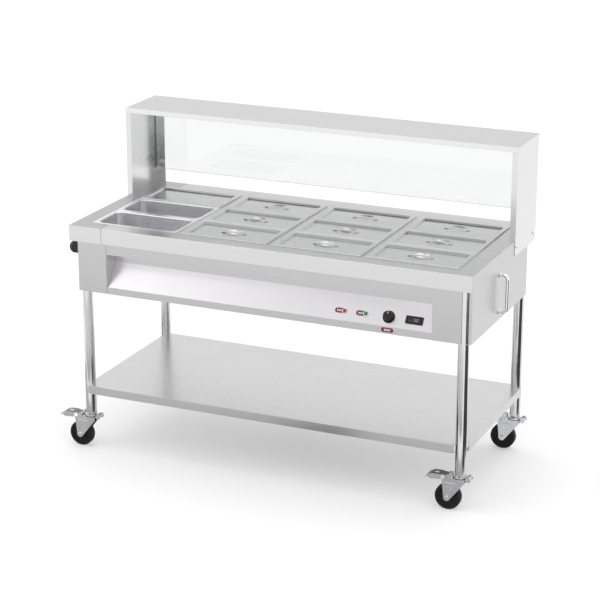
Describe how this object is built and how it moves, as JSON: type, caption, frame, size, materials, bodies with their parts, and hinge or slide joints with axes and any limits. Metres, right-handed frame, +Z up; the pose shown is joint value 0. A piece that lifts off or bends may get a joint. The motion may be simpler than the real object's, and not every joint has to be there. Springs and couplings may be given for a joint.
{
  "type": "steam table unit",
  "caption": "Mobile electric steam table: heated well with rows of lift-out pans and lids, glass serving guard with top shelf, undershelf and braked casters.",
  "frame": {"origin": "bottom centre of the whole unit's box, on the floor", "axes": "+X to the operator's right along the worktop, +Y to the rear, towards the glass guard, +Z up"},
  "size_m": [1.5662, 0.6626, 1.143],
  "materials": {
    "worktop_steel": "satin",
    "cabinet_steel": "satin",
    "polished_tube": "polished",
    "pan_steel": "satin",
    "lid_steel": "satin",
    "glass": "clear",
    "element_steel": "heat-darkened",
    "black_plastic": "matte",
    "red_lens": "glossy",
    "green_lens": "glossy",
    "valve_brass": "cast",
    "lever_red": "gloss",
    "zinc_plate": "zinc plated",
    "wheel_rubber": "matte"
  },
  "bodies": {
    "table": {"worktop_main": "worktop_steel", "worktop_left_end": "worktop_steel", "divider_bars": "worktop_steel", "front_panels": "cabinet_steel", "control_panel": "cabinet_steel", "side_panel_left": "cabinet_steel", "side_panel_right": "cabinet_steel", "rear_and_floor_panel": "cabinet_steel", "water_tank": "worktop_steel", "heating_element": "element_steel", "thermostat": "black_plastic", "drain_valve": "valve_brass", "undershelf": "cabinet_steel", "legs": "polished_tube", "guard_sides": "cabinet_steel", "guard_top_shelf": "cabinet_steel", "guard_glass": "glass", "guard_bolts": "polished_tube", "side_handle": "polished_tube", "power_inlet": "black_plastic", "lamp_red": "red_lens", "lamp_green": "green_lens", "display_unit": "black_plastic", "caster_stems": "zinc_plate"},
    "drain_lever": {"drain_lever": "lever_red"},
    "temperature_knob": {"temperature_knob": "black_plastic"},
    "caster_fork_front_left": {"caster_fork_front_left": "zinc_plate"},
    "caster_wheel_front_left": {"caster_wheel_front_left": "wheel_rubber"},
    "brake_pedal_front_left": {"brake_pedal_front_left": "zinc_plate"},
    "caster_fork_front_right": {"caster_fork_front_right": "zinc_plate"},
    "caster_wheel_front_right": {"caster_wheel_front_right": "wheel_rubber"},
    "brake_pedal_front_right": {"brake_pedal_front_right": "zinc_plate"},
    "caster_fork_rear_left": {"caster_fork_rear_left": "zinc_plate"},
    "caster_wheel_rear_left": {"caster_wheel_rear_left": "wheel_rubber"},
    "brake_pedal_rear_left": {"brake_pedal_rear_left": "zinc_plate"},
    "caster_fork_rear_right": {"caster_fork_rear_right": "zinc_plate"},
    "caster_wheel_rear_right": {"caster_wheel_rear_right": "wheel_rubber"},
    "brake_pedal_rear_right": {"brake_pedal_rear_right": "zinc_plate"},
    "pan_1_1": {"pan_1_1": "pan_steel"},
    "pan_1_2": {"pan_1_2": "pan_steel"},
    "pan_1_3": {"pan_1_3": "pan_steel"},
    "lid_1_3": {"lid_1_3": "lid_steel"},
    "pan_2_1": {"pan_2_1": "pan_steel"},
    "lid_2_1": {"lid_2_1": "lid_steel"},
    "pan_2_2": {"pan_2_2": "pan_steel"},
    "lid_2_2": {"lid_2_2": "lid_steel"},
    "pan_2_3": {"pan_2_3": "pan_steel"},
    "lid_2_3": {"lid_2_3": "lid_steel"},
    "pan_3_1": {"pan_3_1": "pan_steel"},
    "lid_3_1": {"lid_3_1": "lid_steel"},
    "pan_3_2": {"pan_3_2": "pan_steel"},
    "lid_3_2": {"lid_3_2": "lid_steel"},
    "pan_3_3": {"pan_3_3": "pan_steel"},
    "lid_3_3": {"lid_3_3": "lid_steel"},
    "pan_4_1": {"pan_4_1": "pan_steel"},
    "lid_4_1": {"lid_4_1": "lid_steel"},
    "pan_4_2": {"pan_4_2": "pan_steel"},
    "lid_4_2": {"lid_4_2": "lid_steel"},
    "pan_4_3": {"pan_4_3": "pan_steel"},
    "lid_4_3": {"lid_4_3": "lid_steel"}
  },
  "joints": [
    {"name": "temperature_knob_turn", "type": "hinge", "parent": "table", "child": "temperature_knob", "pos_m": [0.46, -0.30615, 0.63935], "axis": [0, 0.8044, -0.594], "range_deg": [0, 300]},
    {"name": "drain_lever_turn", "type": "hinge", "parent": "table", "child": "drain_lever", "pos_m": [-0.485, -0.02475, 0.555], "axis": [0, 1, 0], "range_deg": [0, 90]},
    {"name": "swivel_front_left", "type": "hinge", "parent": "table", "child": "caster_fork_front_left", "pos_m": [-0.667, -0.30675, 0.1167], "axis": [0, 0, 1], "continuous": true},
    {"name": "wheel_spin_front_left", "type": "hinge", "parent": "caster_fork_front_left", "child": "caster_wheel_front_left", "pos_m": [-0.707, -0.30675, 0.045], "axis": [0, 1, 0], "continuous": true},
    {"name": "brake_front_left", "type": "hinge", "parent": "caster_fork_front_left", "child": "brake_pedal_front_left", "pos_m": [-0.703, -0.30675, 0.121], "axis": [0, -1, 0], "range_deg": [0, 12]},
    {"name": "swivel_front_right", "type": "hinge", "parent": "table", "child": "caster_fork_front_right", "pos_m": [0.72, -0.30675, 0.1167], "axis": [0, 0, 1], "continuous": true},
    {"name": "wheel_spin_front_right", "type": "hinge", "parent": "caster_fork_front_right", "child": "caster_wheel_front_right", "pos_m": [0.68, -0.30675, 0.045], "axis": [0, 1, 0], "continuous": true},
    {"name": "brake_front_right", "type": "hinge", "parent": "caster_fork_front_right", "child": "brake_pedal_front_right", "pos_m": [0.684, -0.30675, 0.121], "axis": [0, -1, 0], "range_deg": [0, 12]},
    {"name": "swivel_rear_left", "type": "hinge", "parent": "table", "child": "caster_fork_rear_left", "pos_m": [-0.667, 0.27075, 0.1167], "axis": [0, 0, 1], "continuous": true},
    {"name": "wheel_spin_rear_left", "type": "hinge", "parent": "caster_fork_rear_left", "child": "caster_wheel_rear_left", "pos_m": [-0.707, 0.27075, 0.045], "axis": [0, 1, 0], "continuous": true},
    {"name": "brake_rear_left", "type": "hinge", "parent": "caster_fork_rear_left", "child": "brake_pedal_rear_left", "pos_m": [-0.703, 0.27075, 0.121], "axis": [0, -1, 0], "range_deg": [0, 12]},
    {"name": "swivel_rear_right", "type": "hinge", "parent": "table", "child": "caster_fork_rear_right", "pos_m": [0.72, 0.27075, 0.1167], "axis": [0, 0, 1], "continuous": true},
    {"name": "wheel_spin_rear_right", "type": "hinge", "parent": "caster_fork_rear_right", "child": "caster_wheel_rear_right", "pos_m": [0.68, 0.27075, 0.045], "axis": [0, 1, 0], "continuous": true},
    {"name": "brake_rear_right", "type": "hinge", "parent": "caster_fork_rear_right", "child": "brake_pedal_rear_right", "pos_m": [0.684, 0.27075, 0.121], "axis": [0, -1, 0], "range_deg": [0, 12]},
    {"name": "pan_1_1_lift", "type": "slide", "parent": "table", "child": "pan_1_1", "axis": [0, 0, 1], "range_m": [0, 0.12]},
    {"name": "pan_1_2_lift", "type": "slide", "parent": "table", "child": "pan_1_2", "axis": [0, 0, 1], "range_m": [0, 0.12]},
    {"name": "pan_1_3_lift", "type": "slide", "parent": "table", "child": "pan_1_3", "axis": [0, 0, 1], "range_m": [0, 0.12]},
    {"name": "lid_1_3_lift", "type": "slide", "parent": "pan_1_3", "child": "lid_1_3", "axis": [0, 0, 1], "range_m": [0, 0.1]},
    {"name": "pan_2_1_lift", "type": "slide", "parent": "table", "child": "pan_2_1", "axis": [0, 0, 1], "range_m": [0, 0.12]},
    {"name": "lid_2_1_lift", "type": "slide", "parent": "pan_2_1", "child": "lid_2_1", "axis": [0, 0, 1], "range_m": [0, 0.1]},
    {"name": "pan_2_2_lift", "type": "slide", "parent": "table", "child": "pan_2_2", "axis": [0, 0, 1], "range_m": [0, 0.12]},
    {"name": "lid_2_2_lift", "type": "slide", "parent": "pan_2_2", "child": "lid_2_2", "axis": [0, 0, 1], "range_m": [0, 0.1]},
    {"name": "pan_2_3_lift", "type": "slide", "parent": "table", "child": "pan_2_3", "axis": [0, 0, 1], "range_m": [0, 0.12]},
    {"name": "lid_2_3_lift", "type": "slide", "parent": "pan_2_3", "child": "lid_2_3", "axis": [0, 0, 1], "range_m": [0, 0.1]},
    {"name": "pan_3_1_lift", "type": "slide", "parent": "table", "child": "pan_3_1", "axis": [0, 0, 1], "range_m": [0, 0.12]},
    {"name": "lid_3_1_lift", "type": "slide", "parent": "pan_3_1", "child": "lid_3_1", "axis": [0, 0, 1], "range_m": [0, 0.1]},
    {"name": "pan_3_2_lift", "type": "slide", "parent": "table", "child": "pan_3_2", "axis": [0, 0, 1], "range_m": [0, 0.12]},
    {"name": "lid_3_2_lift", "type": "slide", "parent": "pan_3_2", "child": "lid_3_2", "axis": [0, 0, 1], "range_m": [0, 0.1]},
    {"name": "pan_3_3_lift", "type": "slide", "parent": "table", "child": "pan_3_3", "axis": [0, 0, 1], "range_m": [0, 0.12]},
    {"name": "lid_3_3_lift", "type": "slide", "parent": "pan_3_3", "child": "lid_3_3", "axis": [0, 0, 1], "range_m": [0, 0.1]},
    {"name": "pan_4_1_lift", "type": "slide", "parent": "table", "child": "pan_4_1", "axis": [0, 0, 1], "range_m": [0, 0.12]},
    {"name": "lid_4_1_lift", "type": "slide", "parent": "pan_4_1", "child": "lid_4_1", "axis": [0, 0, 1], "range_m": [0, 0.1]},
    {"name": "pan_4_2_lift", "type": "slide", "parent": "table", "child": "pan_4_2", "axis": [0, 0, 1], "range_m": [0, 0.12]},
    {"name": "lid_4_2_lift", "type": "slide", "parent": "pan_4_2", "child": "lid_4_2", "axis": [0, 0, 1], "range_m": [0, 0.1]},
    {"name": "pan_4_3_lift", "type": "slide", "parent": "table", "child": "pan_4_3", "axis": [0, 0, 1], "range_m": [0, 0.12]},
    {"name": "lid_4_3_lift", "type": "slide", "parent": "pan_4_3", "child": "lid_4_3", "axis": [0, 0, 1], "range_m": [0, 0.1]}
  ]
}
